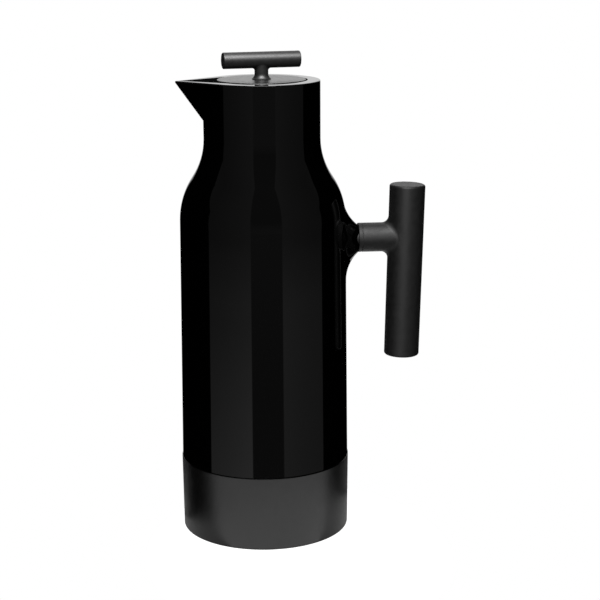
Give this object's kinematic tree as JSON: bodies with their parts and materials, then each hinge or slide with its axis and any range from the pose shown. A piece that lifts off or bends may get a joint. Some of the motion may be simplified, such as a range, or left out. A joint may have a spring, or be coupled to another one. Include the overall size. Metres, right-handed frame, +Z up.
{
  "type": "thermal carafe",
  "caption": "Bottle-shaped thermal carafe with a glossy shell, beak spout, glass vacuum flask, screw-in stopper with a T knob, matte base cup and a bolted T handle.",
  "frame": {"origin": "on the body's axis, in the plane that the foot pad stands on", "axes": "+Z up along the body's axis, +X towards the handle, -X towards the spout"},
  "size_m": [0.1543, 0.1058, 0.3006],
  "materials": {
    "shell_gloss": "polished black moulding",
    "base_matte": "fine matte texture",
    "handle_matte": "fine matte texture",
    "lid_satin": "satin moulding",
    "knob_matte": "fine matte texture",
    "collar_plastic": "satin moulding",
    "stopper_plastic": "satin moulding",
    "silvered_glass": "silvered vacuum glass",
    "mineral_pad": "pressed mineral fibre",
    "rubber_black": "matte rubber",
    "silicone_grey": "soft satin",
    "silicone_clear": "milky satin",
    "foam_white": "closed-cell foam",
    "zinc_steel": "zinc plated",
    "brass": "turned"
  },
  "bodies": {
    "carafe": {"outer_shell": "shell_gloss", "base_cup": "base_matte", "base_seal": "silicone_grey", "foot_pad": "rubber_black", "flask_inner": "silvered_glass", "flask_outer": "silvered_glass", "flask_spacers": "mineral_pad", "flask_cushion": "rubber_black", "pour_collar": "collar_plastic", "collar_o_ring": "silicone_grey", "flask_seal": "silicone_grey", "handle_grip": "handle_matte", "grip_cap": "handle_matte", "handle_ring": "handle_matte", "handle_gasket": "rubber_black", "handle_bolt": "zinc_steel", "handle_washer": "zinc_steel", "handle_insert": "brass"},
    "washer": {"seal_washer": "silicone_clear"},
    "lid": {"lid_cover": "lid_satin", "lid_o_ring": "silicone_grey", "lid_knob": "knob_matte", "knob_insert": "brass", "knob_screw": "zinc_steel", "stopper_body": "stopper_plastic", "stopper_foam": "foam_white", "washer_clip": "zinc_steel"}
  },
  "joints": [
    {"name": "lid_lift", "type": "slide", "parent": "carafe", "child": "washer", "axis": [0, 0, 1], "range_m": [0, 0.0401]},
    {"name": "lid_turn", "type": "hinge", "parent": "washer", "child": "lid", "pos_m": [0, 0, 0.26], "axis": [0, 0, 1], "range_deg": [0, 720]}
  ],
  "couplings": [
    {"joint": "lid_lift", "follows": "lid_turn", "m_per_rad": 0.0031831}
  ]
}
